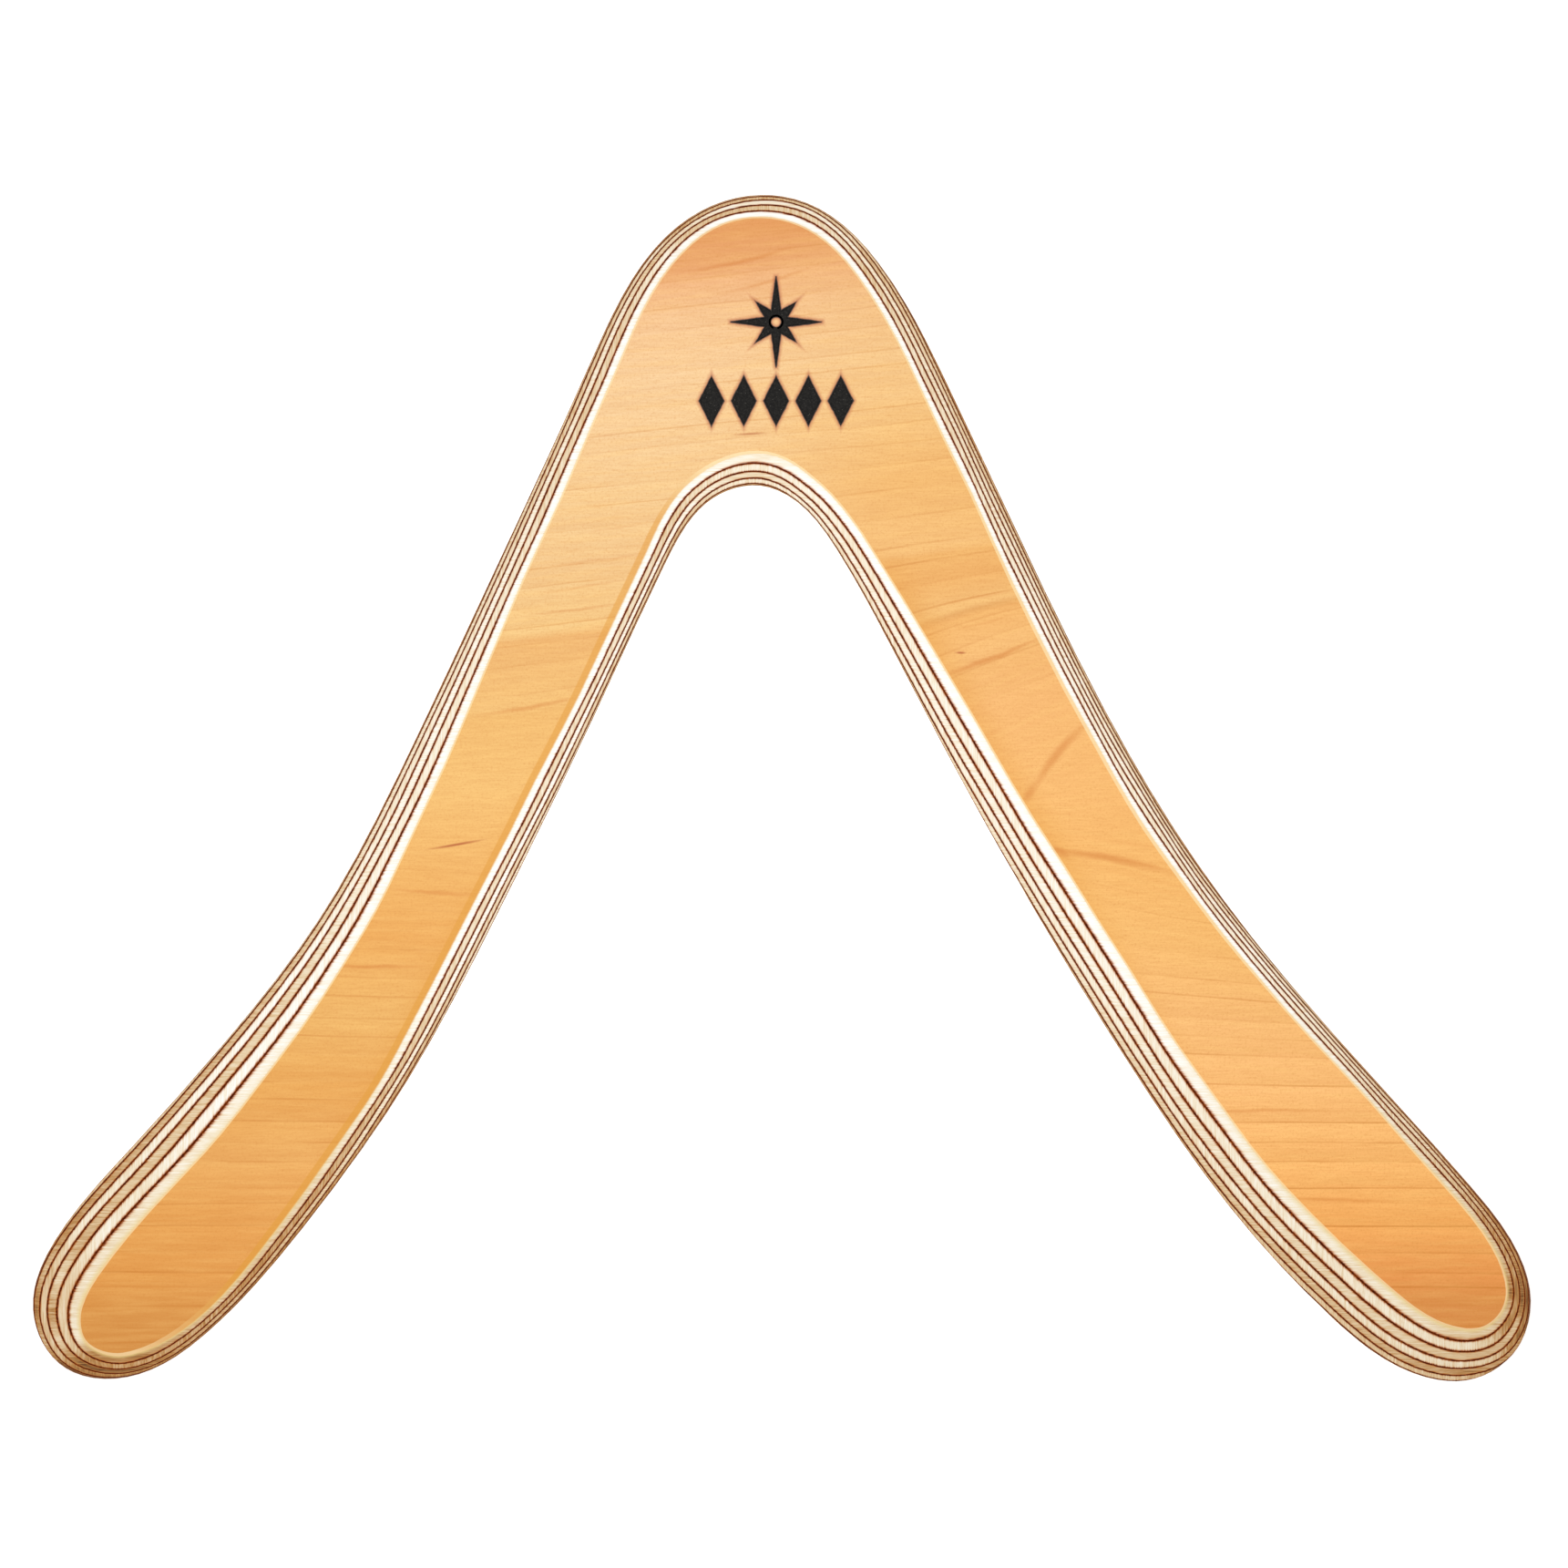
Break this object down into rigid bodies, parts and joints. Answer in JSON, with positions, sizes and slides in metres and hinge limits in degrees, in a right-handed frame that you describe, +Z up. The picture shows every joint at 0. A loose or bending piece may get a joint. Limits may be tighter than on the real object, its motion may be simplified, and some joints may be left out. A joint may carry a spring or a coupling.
{
  "type": "boomerang",
  "caption": "Flat right-handed two-arm boomerang of laminated birch plywood with bevelled edges that show every veneer, and a burnt star ornament at the elbow.",
  "frame": {"origin": "middle of the rectangle that the boomerang covers, on the surface it lies on", "axes": "+X along the span from the left tip to the right tip, +Y towards the elbow, +Z up out of the upper face"},
  "size_m": [0.399, 0.3161, 0.005],
  "materials": {
    "face_birch": "warm oiled and lacquered birch face veneer, satin",
    "long_grain_birch": "raw sanded birch veneer cut along its grain",
    "cross_grain_birch": "raw sanded birch veneer showing its end grain",
    "back_birch": "lacquered birch back veneer, satin",
    "phenolic_glue": "cured dark brown phenolic resin film, sanded"
  },
  "bodies": {
    "root": {"face_veneer": "face_birch", "core_veneer_02": "cross_grain_birch", "core_veneer_03": "long_grain_birch", "core_veneer_04": "cross_grain_birch", "core_veneer_05": "long_grain_birch", "core_veneer_06": "cross_grain_birch", "core_veneer_07": "long_grain_birch", "core_veneer_08": "cross_grain_birch", "core_veneer_09": "long_grain_birch", "back_veneer": "back_birch", "glue_film_01": "phenolic_glue", "glue_film_02": "phenolic_glue", "glue_film_03": "phenolic_glue", "glue_film_04": "phenolic_glue", "glue_film_05": "phenolic_glue", "glue_film_06": "phenolic_glue", "glue_film_07": "phenolic_glue", "glue_film_08": "phenolic_glue", "glue_film_09": "phenolic_glue"}
  },
  "joints": []
}
